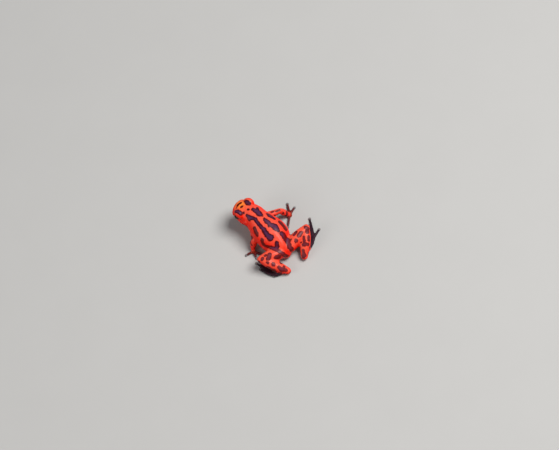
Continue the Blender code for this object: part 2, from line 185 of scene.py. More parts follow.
def set_points(obj, places):
    """Moves a mesh's points."""
    obj.data.vertices.foreach_set("co", np.asarray(places, np.float32).ravel())
    obj.data.update()


# %% Copy the solids
def tree_of(objects, placed=np.asarray):
    """A search tree over several meshes, and the number of the mesh behind each face."""
    points, faces, owner = [], [], []
    for index, obj in enumerate(objects):
        first = len(points)
        points.extend(placed(points_of(obj)))
        for polygon in obj.data.polygons:
            faces.append([first + corner for corner in polygon.vertices])
            owner.append(index)
    return BVHTree.FromPolygons([Vector(point) for point in points], faces), owner


def copy_of(name):
    """A merged copy of a solid, in the frog's own millimetres."""
    copy = bpy.data.objects.new(f"{name}_copy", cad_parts[name].data.copy())
    bpy.context.scene.collection.objects.link(copy)
    copy.data.materials.clear()
    places = to_frog(points_of(copy))
    set_points(copy, straighten(places) if name in TURNED else places)
    merge_loose(copy)
    return copy


flesh_nodes = sorted(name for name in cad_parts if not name.startswith("eye"))
flesh_copies = [copy_of(name) for name in flesh_nodes]
eye_copies = [copy_of(f"eye_{name}") for name, _ in SIDES]
flesh_tree, face_node = tree_of(flesh_copies)
solid_tree, _ = tree_of(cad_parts.values(), to_frog)
print(len(flesh_nodes), "solids copied,", len(face_node), "triangles")

# %% Swell them and make them one surface
# Two discs lie so near to each other that they would grow together, so they are parted.
PARTED_WIDTH = 0.9
PARTED = {
    "hand_left": ((6.3, 13.5, 0.2), (-0.09, -0.1, 0.0)),
    "foot_left": ((7.25, 14.6, 0.2), (0.09, 0.1, 0.0)),
}
for name, copy in zip(flesh_nodes, flesh_copies):
    if name in PARTED:
        disc, way = np.array(PARTED[name])
        places = points_of(copy)
        share = np.exp(-((np.linalg.norm(places - disc, axis=1) / PARTED_WIDTH) ** 2))
        set_points(copy, places + way * share[:, None])
    apply_modifier(copy, "DISPLACE", strength=HALF_GAP, mid_level=0.0)
for copy in eye_copies:
    apply_modifier(copy, "DISPLACE", strength=2 * HALF_GAP, mid_level=0.0)
pick(*flesh_copies, *eye_copies)
bpy.ops.object.join()
skin = bpy.context.view_layer.objects.active
skin.name = skin.data.name = "skin"
apply_modifier(skin, "REMESH", mode="VOXEL", voxel_size=VOXEL)
print("remeshed to", len(skin.data.vertices), "points,", len(skin.data.polygons), "faces")

# %% [markdown]
# ## Relaxing the surface
#
# A voxel surface has small steps, and the solids have flat facets about a millimetre wide.
# Both go when each point moves a little towards the middle of its neighbours, over and over.
# Plain smoothing would also thin the fingers, so for the steps each move inwards is followed
# by one outwards. The facets need a longer smoothing, inwards only. What it takes away is
# itself smoothed and then given back, so the limbs keep their girth and lose their facets.


# %% A mesh's edges and each point's neighbours
def edges_of(obj):
    """The pairs of points that edges join."""
    pairs = np.empty(len(obj.data.edges) * 2, np.int32)
    obj.data.edges.foreach_get("vertices", pairs)
    return pairs.reshape(-1, 2)


def spread(values, pairs):
    """The mean over each point's neighbours."""
    count = len(values)
    flat = values.reshape(count, -1)
    degree = np.bincount(pairs.ravel(), minlength=count)
    total = np.empty_like(flat)
    for column in range(flat.shape[1]):
        near = flat[:, column]
        total[:, column] = np.bincount(pairs[:, 0], near[pairs[:, 1]], count)
        total[:, column] += np.bincount(pairs[:, 1], near[pairs[:, 0]], count)
    return (total / np.maximum(degree, 1)[:, None]).reshape(values.shape)


# %% Smooth without shrinking
INWARDS, OUTWARDS = 0.55, -0.57


def relax(obj, rounds, share):
    """Smooths a mesh by turns inwards and outwards, each point by its own share."""
    places, pairs = points_of(obj), edges_of(obj)
    for _ in range(rounds):
        for step in (INWARDS, OUTWARDS):
            places += (spread(places, pairs) - places) * step * share[:, None]
    set_points(obj, places)


def even_out(obj, rounds, share):
    """Smooths facets away and gives back what was lost, itself smoothed."""
    before, pairs = points_of(obj), edges_of(obj)
    places = before.copy()
    for _ in range(rounds):
        places += (spread(places, pairs) - places) * INWARDS * share[:, None]
    lost = before - places
    for _ in range(rounds // 2):
        lost = spread(lost, pairs)
    set_points(obj, places + lost)
    return np.linalg.norm(places + lost - before, axis=1)


# %% [markdown]
# ## How much each part is smoothed
#
# Digits and lids are small, so they are relaxed less than half as much as the rest, and their
# facets are left alone. The torso and the thighs, with the widest facets, are evened out most.


# %% Smooth each part by its own share
def node_of(places):
    """The name of the solid that each place is nearest to."""
    nearest = [flesh_tree.find_nearest(Vector(place))[2] for place in places]
    return np.array(flesh_nodes)[np.array(face_node)[nearest]]


def from_eye(places):
    """Each place's distance to the nearer eye's centre."""
    centres = [on_side(EYE_CENTRE, side) for _, side in SIDES]
    return np.min([np.linalg.norm(places - centre, axis=1) for centre in centres], axis=0)


LID_REACH = 2.15
RELAX_ROUNDS, DIGIT_SHARE, LID_SHARE = 26, 0.45, 0.4
EVEN_ROUNDS, BLEND_ROUNDS = 100, 8
EVENNESS = {"torso": 1.0, "head": 0.35}
for side, _ in SIDES:
    EVENNESS.update({f"thigh_{side}": 1.0, f"shank_{side}": 0.8, f"upper_arm_{side}": 0.6})
    EVENNESS.update({f"forearm_{side}": 0.4, f"tarsus_{side}": 0.3})

places = points_of(skin)
skin_node = node_of(places)
is_digit = np.char.startswith(skin_node, "hand") | np.char.startswith(skin_node, "foot")
is_lid = from_eye(places) < LID_REACH
relax(skin, RELAX_ROUNDS, np.where(is_digit, DIGIT_SHARE, np.where(is_lid, LID_SHARE, 1.0)))
evenness = np.select([skin_node == name for name in EVENNESS], list(EVENNESS.values()), 0.0)
evenness *= ~is_lid
pairs = edges_of(skin)
for _ in range(BLEND_ROUNDS):
    evenness = spread(evenness, pairs)
moved = even_out(skin, EVEN_ROUNDS, evenness)
print("facets evened out by up to", round(moved.max(), 3), "mm, mean", round(moved.mean(), 3))
apply_modifier(skin, "DISPLACE", strength=-HALF_GAP, mid_level=0.0)
print(is_digit.sum(), "points on hands and feet,", is_lid.sum(), "round the eyes")

# %% [markdown]
# ## Points where they are needed
#
# The lips, nostrils and lids need points a twentieth of a millimetre apart, and the round
# back doesn't. A vertex group names the plain areas, Decimate thins them out, and the faces
# round the features are then picked by their place and subdivided.

# %% Where the features of the head lie
MOUTH_HEIGHT = 5.95
MOUTH_SLOPE = -0.11
MOUTH_BACK = 5.35
NOSTRIL = np.array((1.79, 0.62, 7.07))
EAR = np.array((3.15, 6.1, 6.45))
PLAIN_SHARE = 0.45
OPEN_AXIS = np.array((1.0, -0.25, -0.07))
RIM_AHEAD, RIM_ABOVE, RIM_BELOW = np.radians((60.0, 43.0, 46.0))


def above_mouth(places):
    """Height over the line where the lips meet, on either side of the head."""
    back = places[:, 1]
    droop = 0.05 * ramp(back, 3.4, MOUTH_BACK) * (back - 3.4)
    return places[:, 2] - (MOUTH_HEIGHT + MOUTH_SLOPE * back - droop)


def distance_to(places, point):
    """Distance to a point or to its mirror image on the other side, whichever is nearer."""
    return np.minimum(
        np.linalg.norm(places - on_side(point, 1), axis=1),
        np.linalg.norm(places - on_side(point, -1), axis=1),
    )


def around_eye(places, side):
    """Distance from an eye's centre, angle past the lids' rim, and share of the way up."""
    axis = on_side(OPEN_AXIS, side) / np.linalg.norm(OPEN_AXIS)
    up = np.array((0.0, 0.0, 1.0)) - axis[2] * axis
    up /= np.linalg.norm(up)
    along = np.cross(up, axis)
    way = places - on_side(EYE_CENTRE, side)
    distance = np.maximum(np.linalg.norm(way, axis=1), 1e-6)
    way = way / distance[:, None]
    angle = np.arccos(np.clip(way @ axis, -1.0, 1.0))
    height, run = way @ up, way @ along
    size = np.maximum(np.hypot(height, run), 1e-6)
    tall = np.where(height > 0, RIM_ABOVE, RIM_BELOW)
    rim = 1 / np.hypot(height / size / tall, run / size / RIM_AHEAD)
    return distance, angle - rim, height / size


def divide(obj, chosen):
    """Splits each chosen face in four."""
    pick(obj)
    bpy.ops.object.mode_set(mode="EDIT")
    bpy.ops.mesh.select_all(action="DESELECT")
    bpy.ops.object.mode_set(mode="OBJECT")
    obj.data.polygons.foreach_set("select", chosen)
    bpy.ops.object.mode_set(mode="EDIT")
    bpy.ops.mesh.subdivide(number_cuts=1)
    bpy.ops.object.mode_set(mode="OBJECT")
    print(chosen.sum(), "faces divided, now", len(obj.data.polygons))


def centres_of(obj):
    """The middle of each face."""
    centres = np.empty(len(obj.data.polygons) * 3, np.float32)
    obj.data.polygons.foreach_get("center", centres)
    return centres.reshape(-1, 3).astype(float)


def near_rim(places, width):
    """Whether each place lies this near to the lids' rim."""
    found = np.zeros(len(places), bool)
    for _, side in SIDES:
        distance, past, _ = around_eye(places, side)
        found |= (np.abs(past) < width) & (distance < LID_REACH)
    return found


# %% Thin the plain areas, then divide the features
places = points_of(skin)
plain = ~(is_digit | is_lid | (skin_node == "head"))
group = skin.vertex_groups.new(name="plain")
group.add(np.flatnonzero(plain).tolist(), 1.0, "REPLACE")
apply_modifier(skin, "DECIMATE", ratio=PLAIN_SHARE, vertex_group="plain")
skin.vertex_groups.clear()

centres = centres_of(skin)
lips = (np.abs(above_mouth(centres)) < 0.33) & (centres[:, 1] < MOUTH_BACK + 0.4)
features = lips & (centres[:, 2] > 4)
features |= distance_to(centres, NOSTRIL) < 0.45
divide(skin, features | near_rim(centres, 0.4))
divide(skin, near_rim(centres_of(skin), 0.12))

# %% [markdown]
# ## The face
#
# A frog's face is all soft forms: lids that fit the eyeballs closely, a shallow hollow
# between nostril and eye, a mouth that is one long crease, and an eardrum behind the eye.
# On so small a head these are best pushed in or out of the skin itself, as a sculptor does
# with a finger. Each form is a distance to a point or a line, and a width.


# %% Push the skin in and out
def normals_of(obj):
    """The way out at each of a mesh's points."""
    ways = np.empty(len(obj.data.vertices) * 3, np.float32)
    obj.data.vertices.foreach_get("normal", ways)
    return ways.reshape(-1, 3).astype(float)


def bump(distance, width):
    """A soft hill, 1 at no distance and near 0 past twice its width."""
    return np.exp(-((distance / width) ** 2))


def beside(places, start, end):
    """How far along a stretch each place lies, as a share, and its distance to it."""
    start, run = np.array(start, float), np.subtract(end, start)
    along = np.clip((places - start) @ run / (run @ run), 0.0, 1.0)
    return along, np.linalg.norm(places - start - along[:, None] * run, axis=1)


def distance_to_line(places, line):
    """Distance to a line through a few points."""
    return np.min([beside(places, *ends)[1] for ends in zip(line, line[1:])], axis=0)


def both_sides(places):
    """The places as they would lie on the frog's left side."""
    return places * np.where(places[:, :1] < 0, (-1.0, 1.0, 1.0), 1.0)


# %% Lids that fit the eyeballs
EYE_RADIUS = 1.25
RIM_HEIGHT = 0.08


def lid_surface(distance, past, upward):
    """How far from the eye's centre the lids' surface should lie."""
    below = ramp(-upward, 0.3, 0.8)
    lid = EYE_RADIUS + RIM_HEIGHT + (0.85 + 1.65 * below) * past - 0.3 * past**2
    lid += 0.03 * bump(past - 0.07, 0.06)
    lid -= 0.035 * bump(past - 0.36, 0.045) * ramp(upward, -0.2, 0.5)
    lower = (distance + lid - np.hypot(distance - lid, 0.1)) / 2
    drawn = 1 - ramp(past, 0.38 - 0.33 * below, 0.55 - 0.4 * below)
    outer = lower + (lid - lower) * drawn
    opened = EYE_RADIUS - 0.06 + (RIM_HEIGHT + 0.06) * ramp(past, -0.09, 0.0)
    return np.where(past > 0, outer, opened)


places = points_of(skin)
for name, side in SIDES:
    centre = on_side(EYE_CENTRE, side)
    distance, past, upward = around_eye(places, side)
    share = ramp(-distance, -LID_REACH, -1.82) * ramp(-past, -1.2, -0.9)
    wanted = distance + (lid_surface(distance, past, upward) - distance) * share
    places = centre + (places - centre) * (wanted / distance)[:, None]
    print(name, "lids:", (share > 0.5).sum(), "points")
set_points(skin, places)

# %% Mouth, nostrils, eardrums and the bones under the skin
CANTHUS = ((1.5, 0.7, 7.3), (1.75, 1.3, 7.45), (2.0, 1.8, 7.6))
EAR_FOLD = ((2.85, 5.4, 7.55), (3.1, 6.2, 7.05), (3.2, 7.2, 6.4), (3.1, 8.0, 5.6))
UROSTYLE = ((-0.5, 14.6, 7.2), (-0.35, 16.5, 6.3), (-0.1, 18.6, 5.1))
HIP_ASIDE = (-0.5, 0.0, 0.0)
KNOBS = (
    (7.5, 16.1, 4.6),
    (-9.1, 17.8, 4.6),
    (4.4, 11.3, 4.2),
    (-7.6, 9.3, 4.2),
    (2.9, 23.6, 1.3),
    (-2.6, 23.6, 1.3),
)

places, ways = points_of(skin), normals_of(skin)
left = both_sides(places)
on_head = places[:, 1] < 7.5
height = above_mouth(places)
mouth = ramp(-places[:, 1], -MOUTH_BACK - 0.25, -MOUTH_BACK + 0.35) * (places[:, 2] > 4.2)
mouth *= from_eye(places) > EYE_RADIUS + 0.05
push = -0.17 * mouth * bump(height, 0.08)
push += 0.05 * mouth * bump(height - 0.19, 0.13)
push += 0.02 * mouth * bump(height + 0.2, 0.16)
from_nostril = distance_to(places, NOSTRIL)
push += -0.24 * bump(from_nostril, 0.13) + 0.02 * bump(from_nostril - 0.3, 0.12)
from_ear = distance_to(places, EAR)
push += -0.06 * ramp(-from_ear, -0.52, -0.34) * on_head
push += 0.045 * bump(from_ear - 0.52, 0.1) * on_head
push += 0.06 * bump(distance_to_line(left, EAR_FOLD), 0.24)
push += 0.06 * bump(distance_to_line(left, CANTHUS), 0.3) * on_head
push += -0.1 * bump(distance_to(places, (2.4, 1.2, 6.7)), 0.6)
push += -0.08 * bump(distance_to(places, (0.0, 4.2, 8.65)), 0.8)
push += 0.07 * bump(distance_to_line(places, UROSTYLE), 0.55)
push += 0.09 * bump(distance_to(places - HIP_ASIDE, (1.05, 14.0, 7.15)), 0.8)
push += 0.06 * bump(distance_to(places, (1.7, 8.6, 8.2)), 0.7)
for knob in KNOBS:
    push += 0.1 * bump(np.linalg.norm(places - np.array(knob), axis=1), 0.55)
set_points(skin, places + ways * push[:, None])
print("deepest crease", round(push.min(), 3), "mm, highest fold", round(push.max(), 3), "mm")

# %% [markdown]
# ## Fingers and toes
#
# Each digit of this frog ends in a small round disc with two scutes on top, side by side,
# and its joints show as slight swellings. The places of the discs are those of the solids.
# A groove along the top of a disc parts its scutes, and each joint is a soft ring.

# %% Where the digits run
STILL = (0.0, 0.0)
DIGITS = {
    "left hand": ((5.6, 11.4), STILL, ((6.21, 13.4), (4.6, 13.6), (3.0, 10.1), (7.5, 10.8))),
    "right hand": (
        (-8.9, 10.15),
        STILL,
        ((-6.15, 12.4), (-6.2, 9.3), (-10.7, 7.1), (-11.2, 9.3)),
    ),
    "left foot": (
        (6.9, 19.6),
        (0.32, 0.14),
        ((5.2, 18.5), (5.7, 17.2), (6.35, 16.1), (7.34, 14.7), (7.9, 16.9)),
    ),
    "right foot": (
        (-8.9, 19.8),
        (-0.21, 0.28),
        ((-8.1, 18.4), (-9.3, 17.7), (-10.25, 16.4), (-11.85, 14.95), (-11.4, 19.2)),
    ),
}
PALM_REST = 0.42
DISC_REST = 0.22
JOINTS_ALONG = (0.42, 0.74)


def digit_lines():
    """The root and the tip of every digit. Roots of toes are spread across the sole."""
    for palm, fan, tips in DIGITS.values():
        for index, tip in enumerate(tips):
            root = np.array(palm) + np.array(fan) * (2 * index / (len(tips) - 1) - 1)
            yield np.array((*root, PALM_REST)), np.array((*tip, DISC_REST))


# %% Shape the digits
places, ways = points_of(skin), normals_of(skin)
push = np.zeros(len(places))
for root, tip in digit_lines():
    run = (tip - root) / np.linalg.norm(tip - root)
    across = np.cross(run, (0.0, 0.0, 1.0))
    from_tip = places - tip - run * 0.1
    near = np.linalg.norm(from_tip, axis=1)
    groove = bump(from_tip @ across, 0.075) * bump(from_tip @ run - 0.12, 0.3)
    push -= 0.09 * groove * (near < 0.8) * np.clip(ways[:, 2], 0, 1)
    neck = bump(np.linalg.norm(from_tip + run * 0.62, axis=1), 0.25)
    push -= 0.05 * neck
    for share in JOINTS_ALONG:
        joint = root + (tip - root) * share
        push += 0.045 * bump(np.linalg.norm(places - joint, axis=1) - 0.25, 0.2)
set_points(skin, places + ways * push[:, None])
print(len(list(digit_lines())), "digits shaped")

# %% [markdown]
# ## The grain of the skin
#
# Up close the skin is finely granular. The coarsest grains are real relief, from Displace
# with a procedural texture. The finer ones are left to the material.

# %% Coarse grains
GRAIN_SIZE = 0.3
GRAIN_HEIGHT = 0.014
LOWEST = 0.012

grain = bpy.data.textures.new("coarse_grains", "CLOUDS")
grain.noise_scale = GRAIN_SIZE
grain.noise_depth = 1
apply_modifier(skin, "DISPLACE", texture=grain, strength=GRAIN_HEIGHT, mid_level=0.5)
places = points_of(skin)
places[:, 2] = np.maximum(places[:, 2], LOWEST)
set_points(skin, places)
pick(skin)
bpy.ops.object.shade_smooth()
print("lowest point", places[:, 2].min(), "mm")

# %% [markdown]
# ## The markings
#
# The dark blotches run in two broken rows down the back, with a stripe along each flank and
# round spots on the limbs. They could be painted on an image, but a rule is cleaner: each
# mark is a short line of points with a radius at each, and every point of the skin keeps
# its distance to the edge of the nearest mark. The material turns that distance into a
# soft, slightly ragged edge, so the marks stay sharp however close one looks.
#
# The marks were read off the photo, in pixels, and 11 adjusted. Each pixel is a line
# of sight, and a mark lies where that line first meets the solids. A pixel is a quarter of a
# millimetre, so a tenth is as fine as such a place can be known.

# %% The photo's view
IMAGE_WIDTH, IMAGE_HEIGHT = 559, 450
PIXELS_PER_MM = 3.7037
SNOUT_PIXEL = (241.03, 213.66)
ELEVATION, AZIMUTH = math.radians(60.0), math.radians(28.0)
ROLL = math.radians(15.81)
SIGHT_START = 60.0

towards = np.array((
    math.sin(AZIMUTH) * math.cos(ELEVATION),
    math.cos(AZIMUTH) * math.cos(ELEVATION),
    math.sin(ELEVATION),
))
plumb_up = np.array((0.0, 0.0, 1.0)) - towards[2] * towards
plumb_up /= np.linalg.norm(plumb_up)
plumb_right = np.cross(plumb_up, towards)
right = math.cos(ROLL) * plumb_right - math.sin(ROLL) * plumb_up
up = math.sin(ROLL) * plumb_right + math.cos(ROLL) * plumb_up


def seen_at(across, down):
    """The place on the solids that the photo shows at a pixel."""
    aside = (across - SNOUT_PIXEL[0]) / PIXELS_PER_MM
    above = (SNOUT_PIXEL[1] - down) / PIXELS_PER_MM
    start = Vector(aside * right + above * up + SIGHT_START * towards)
    return np.round(solid_tree.ray_cast(start, Vector(-towards))[0], 1)


print("the photo's middle pixel shows", seen_at(IMAGE_WIDTH / 2, IMAGE_HEIGHT / 2))

# %% Marks read off the photo: pixels across and down, and radius in millimetres
PHOTO_MARKS = {
    "right lid": ((245.4, 201.2, 0.42), (248.6, 203.6, 0.64)),
    "snout": ((241.0, 203.0, 0.22), (238.3, 205.0, 0.28), (236.5, 207.8, 0.22)),
    "nose": ((241.6, 206.6, 0.32),),
    "crown": ((248.2, 209.7, 0.36),),
    "left lid": ((235.2, 211.3, 0.3), (238.0, 211.6, 0.52), (241.0, 213.2, 0.5)),
    "left lid spot": ((244.0, 212.5, 0.32),),
    "right first": (
        (253.7, 209.2, 0.5), (256.4, 210.9, 0.82), (258.9, 213.6, 0.74),
        (261.6, 215.4, 0.42),
    ),
    "right first spur": ((256.4, 210.9, 0.5), (257.4, 208.0, 0.35)),
    "right second": (
        (264.3, 219.3, 0.5), (267.3, 221.6, 0.76), (270.3, 224.3, 0.54),
        (275.2, 227.4, 1.0), (277.8, 230.0, 0.65),
    ),
    "right bud": ((269.2, 226.6, 0.24),),
    "right rump": (
        (282.1, 233.9, 0.6), (284.6, 236.6, 0.88), (287.4, 240.0, 0.68),
        (288.9, 243.9, 0.6), (289.7, 246.9, 0.54), (291.9, 249.9, 0.5),
    ),
    "left row": (
        (247.2, 215.0, 0.36), (249.4, 218.6, 0.74), (251.8, 218.3, 0.52),
        (254.5, 218.6, 0.43), (256.9, 221.2, 0.58), (259.2, 224.6, 0.41),
        (261.6, 226.9, 0.43), (264.0, 229.6, 0.6), (265.6, 232.6, 0.66),
        (267.3, 235.3, 0.52), (270.3, 237.7, 0.96),
    ),
    "left T": ((276.9, 242.6, 0.5), (276.6, 246.3, 0.58), (276.6, 249.0, 0.5)),
    "left stripe": (
        (262.4, 240.4, 0.57), (262.6, 243.4, 0.44), (265.1, 245.4, 0.54),
        (268.9, 247.0, 0.5), (272.7, 248.4, 0.5), (276.9, 249.6, 0.56),
        (280.2, 251.5, 0.48), (283.7, 254.0, 0.5), (286.1, 256.0, 0.5),
    ),
    "left shoulder": ((254.4, 228.7, 0.41), (255.9, 232.3, 0.54), (257.4, 235.4, 0.41)),
    "right shoulder": ((267.9, 214.5, 0.46), (271.5, 216.9, 0.6), (274.5, 218.9, 0.42)),
    "right upper arm": ((271.5, 212.3, 0.28), (273.5, 211.6, 0.22)),
    "right arm edge": ((275.6, 211.4, 0.2), (279.2, 210.0, 0.2)),
    "right elbow": ((283.4, 213.2, 0.28),),
    "right forearm": ((286.9, 211.9, 0.28), (286.7, 215.2, 0.36)),
    "left elbow": ((255.31, 240.2, 0.22),),
    "left forearm": ((251.5, 241.2, 0.24), (251.6, 244.8, 0.28)),
    "left forearm inner": ((254.3, 244.6, 0.22),),
    "right thigh front": ((294.2, 234.2, 0.36), (296.2, 231.5, 0.36)),
    "right thigh middle": ((299.1, 235.9, 0.38), (301.0, 232.9, 0.44)),
    "right thigh back": ((296.1, 241.1, 0.58),),
    "right groin": ((290.9, 239.4, 0.22),),
    "right thigh end": ((300.6, 242.3, 0.24),),
    "right knee": ((305.3, 226.8, 0.28), (308.1, 228.8, 0.3)),
    "right knee spot": ((306.9, 232.2, 0.5),),
    "right shank outer": ((308.7, 237.0, 0.42), (308.7, 239.9, 0.42)),
    "right shank": ((303.9, 236.5, 0.3), (303.8, 240.2, 0.32)),
    "right shank band": ((302.6, 244.9, 0.3), (304.8, 244.3, 0.42), (308.1, 244.2, 0.38)),
    "right shank lower": ((303.5, 250.6, 0.32), (303.4, 253.6, 0.42)),
    "right heel": ((302.4, 256.3, 0.28), (305.0, 255.7, 0.28)),
    "left thigh middle": ((275.6, 257.2, 0.54), (279.0, 257.2, 0.68)),
    "left thigh": ((270.2, 254.4, 0.41), (268.3, 258.6, 0.58)),
    "left thigh knee": ((265.2, 255.3, 0.3),),
    "left knee": ((262.4, 258.7, 0.44),),
    "left shank upper": ((267.8, 262.5, 0.43),),
    "left shank": ((273.5, 264.5, 0.6),),
    "left shank lower": ((279.0, 267.6, 0.52), (281.3, 268.9, 0.54)),
    "left shank edge": ((268.0, 266.8, 0.3), (271.5, 268.6, 0.36), (275.0, 270.0, 0.28)),
    "left heel": ((285.8, 270.3, 0.44),),
    "left shank rim": ((284.2, 266.2, 0.24),),
}

# %% [markdown]
# Two marks lie where the photo shows the body edge-on or hides it, so they are placed in the
# frog's own millimetres.

# %% Marks that the photo hardly shows: x, y, z and radius
SIDE_MARKS = {
    "left neck": ((3.4, 5.6, 5.7, 0.2), (3.3, 7.0, 5.4, 0.34), (3.3, 8.3, 4.8, 0.24)),
    "right flank": ((-3.9, 12.7, 6.5, 0.48), (-3.9, 14.0, 6.0, 0.68), (-3.9, 15.0, 5.5, 0.56)),
}
marks = list(SIDE_MARKS.values())
for points in PHOTO_MARKS.values():
    marks.append([(*seen_at(across, down), radius) for across, down, radius in points])
print(len(marks), "marks placed")


# %% Distance to a mark's edge
def inside_mark(places, mark):
    """Distance from each place to the mark's edge, below 0 inside it."""
    points = [np.array(flesh_snap(point)) for point in straighten([m[:3] for m in mark])]
    if len(mark) == 1:
        return np.linalg.norm(places - points[0], axis=1) - mark[0][3]
    nearest = np.full(len(places), np.inf)
    for (start, end), (first, last) in zip(zip(points, points[1:]), zip(mark, mark[1:])):
        along, gap = beside(places, start, end)
        radius = first[3] + (last[3] - first[3]) * along
        nearest = np.minimum(nearest, gap - radius)
    return nearest


def flesh_snap(point):
    """The nearest place on the solids of flesh."""
    return flesh_tree.find_nearest(Vector(point))[0]


# %% [markdown]
# The photo doesn't show the limbs' far sides. There a point drawn at random gets a spot if
# all other marks are far enough off.

# %% Scatter spots on the limbs' far sides
LIMBS = ("upper_arm", "forearm", "thigh", "shank")
SPOT_SPACING = 1.55
SPOT_CLEARANCE = 0.62
SPOT_TRIES = 6000
SPOT_RADII = (0.3, 0.5)
UNMARKED = 9.0
rng = np.random.default_rng(21)

places, ways = points_of(skin), normals_of(skin)
skin_node = node_of(places)
marking = np.full(len(places), UNMARKED)
for mark in marks:
    marking = np.minimum(marking, inside_mark(places, mark))
on_limb = np.isin(skin_node, [f"{limb}_{side}" for limb in LIMBS for side, _ in SIDES])
scattered = 0
for place in rng.permutation(np.flatnonzero(on_limb))[:SPOT_TRIES]:
    if marking[place] > SPOT_SPACING * SPOT_CLEARANCE:
        spot = np.linalg.norm(places - places[place], axis=1) - rng.uniform(*SPOT_RADII)
        marking = np.minimum(marking, spot)
        scattered += 1
print(scattered, "spots scattered beside", len(marks), "marks")

# %% [markdown]
# ## Masks for the skin's other colours
#
# Each further colour has a mask, a number from 0 to 1 at every point of the skin. The first
# one tells the dark hands and feet, and fades out round the wrists and ankles.

# %% Dark hands and feet
WRIST_REACH, ANKLE_REACH = -0.6, 1.5
WRISTS = {"left": (5.1, 10.75, 0.95), "right": (-8.5, 9.75, 0.95)}
ANKLES = {"left": (6.3, 21.0, 0.62), "right": (-7.3, 21.0, 0.62)}


def keep_mask(obj, name, values):
    """Stores one number for each point of a mesh."""
    attribute = obj.data.attributes.new(name, "FLOAT", "POINT")
    attribute.data.foreach_set("value", np.asarray(values, np.float32))


is_digit = np.char.startswith(skin_node, "hand") | np.char.startswith(skin_node, "foot")
from_hand = np.full(len(places), np.inf)
for side, _ in SIDES:
    for joint, reach in ((WRISTS[side], WRIST_REACH), (ANKLES[side], ANKLE_REACH)):
        gap = np.linalg.norm(places - np.array(joint), axis=1) - reach
        from_hand = np.minimum(from_hand, gap)
is_lower = np.char.startswith(skin_node, "forearm") | np.char.startswith(skin_node, "tarsus")
dark_skin = np.where(is_digit, 1.0, is_lower * ramp(-from_hand, -0.9, 0.1))
print((dark_skin > 0.5).sum(), "points on dark hands and feet")

# %% [markdown]
# Digits are darker than the palm, and each ends in a pale disc. Feet are dark throughout.

# %% Dark digits with pale discs
FINGER_SHARE = 0.65

pale_tip, on_finger = np.zeros(len(places)), np.zeros(len(places))
for root, tip in digit_lines():
    ahead = (tip - root) / np.linalg.norm(tip - root)
    gap = np.linalg.norm(places - tip - 0.15 * ahead, axis=1)
    pale_tip = np.maximum(pale_tip, is_digit * ramp(-gap, -0.62, -0.3))
    past_root = ramp((places - root) @ ahead, 0.2, 1.3)
    near = np.linalg.norm(np.cross(places - root, ahead), axis=1) < 0.7
    on_finger = np.maximum(on_finger, FINGER_SHARE * is_digit * past_root * near)
is_foot = np.char.startswith(skin_node, "foot") | np.char.startswith(skin_node, "tarsus")
on_finger = np.maximum(on_finger, is_foot)
print((pale_tip > 0.5).sum(), "points on pale discs")

# %% [markdown]
# What faces down is paler on a frog. What faces up gets a painted sheen of the bright sky,
# cooler and paler, and what faces aside and down gets painted shade. The top of the snout is
# more orange. The lips' crease and the nostrils are painted dark, as shade in their hollows.

# %% Belly, back, snout and lips
is_trunk = (skin_node == "torso") | (skin_node == "head")
underside = ramp(-ways[:, 2], 0.25, 0.8) * np.where(is_trunk, 1.0, 0.6)
orange = bump(np.linalg.norm(places - np.array((-0.1, 2.0, 8.0)), axis=1), 1.3)
height = above_mouth(places)
# The lips' crease and the nostrils get painted shade.
crease = bump(height, 0.06) * ramp(-places[:, 1], -MOUTH_BACK - 0.1, -MOUTH_BACK + 0.4)
crease = np.where(skin_node == "head", crease, 0) * (from_eye(places) > EYE_RADIUS + 0.1)
crease = np.maximum(crease, bump(distance_to(places, NOSTRIL), 0.14))
# Where the skin faces up it gets a painted sky sheen, on the red and in the marks.
upward = np.where(is_trunk, ramp(ways[:, 2], 0.52, 0.97), ramp(ways[:, 2], 0.1, 0.9))
# Where it faces aside and down it gets painted shade.
painted_shade = ramp(-ways[:, 2], -0.25, 0.45)
print((underside > 0.5).sum(), "points face down,", (upward > 0.5).sum(), "face up")

# %% [markdown]
# Some masks are first spread over the neighbours, for soft edges. Then all are kept in
# attributes that the material reads.

# %% Blend the masks and keep them
SKIN_BLEND, BELLY_BLEND = 6, 40

limb = on_limb.astype(float)
pairs = edges_of(skin)
for _ in range(SKIN_BLEND):
    dark_skin = spread(dark_skin, pairs)
    limb = spread(limb, pairs)
for _ in range(BELLY_BLEND):
    underside = spread(underside, pairs)
upward = spread(upward, pairs)
masks = {
    "marking": marking,
    "dark_skin": dark_skin,
    "pale_tip": pale_tip,
    "finger": on_finger,
    "underside": underside,
    "orange": orange,
    "upward": upward,
    "painted_shade": painted_shade,
    "crease": crease,
    "limb": limb,
}
for name, values in masks.items():
    keep_mask(skin, name, values)
print("masks kept:", [attribute.name for attribute in skin.data.attributes])

# %% [markdown]
# ## Back to life size
#
# The finished skin gets its turned head back. It is then put in the row frame, in metres,
# with its object at the origin.

# %% Put the skin on the frame
places = points_of(skin)
is_turned = np.isin(skin_node, TURNED)
places[is_turned] = turn(places[is_turned])
set_points(skin, to_row(places))
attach(skin, "root")
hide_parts(*flesh_nodes)
skin.data.calc_loop_triangles()
print("skin:", len(skin.data.loop_triangles), "triangles")

# %% [markdown]
# ## Shared effects for the materials
#
# Skin and eyes share one effect, a fine mottle that varies a colour a little, as living
# tissue does. It is a node group with named sockets, built once. It puts out a value only,
# and each material mixes its own colours with it.


# %% Node helpers
def add_node(tree, kind, **inputs):
    """Adds a node and sets its inputs, by name or by number."""
    node = tree.nodes.new(kind)
    for name, value in inputs.items():
        key = int(name[1:]) if name[0] == "i" and name[1:].isdigit() else name.replace("_", " ")
        node.inputs[key].default_value = value
    return node


def link(tree, source, target):
    """Joins an output socket to an input socket."""
    tree.links.new(source, target)


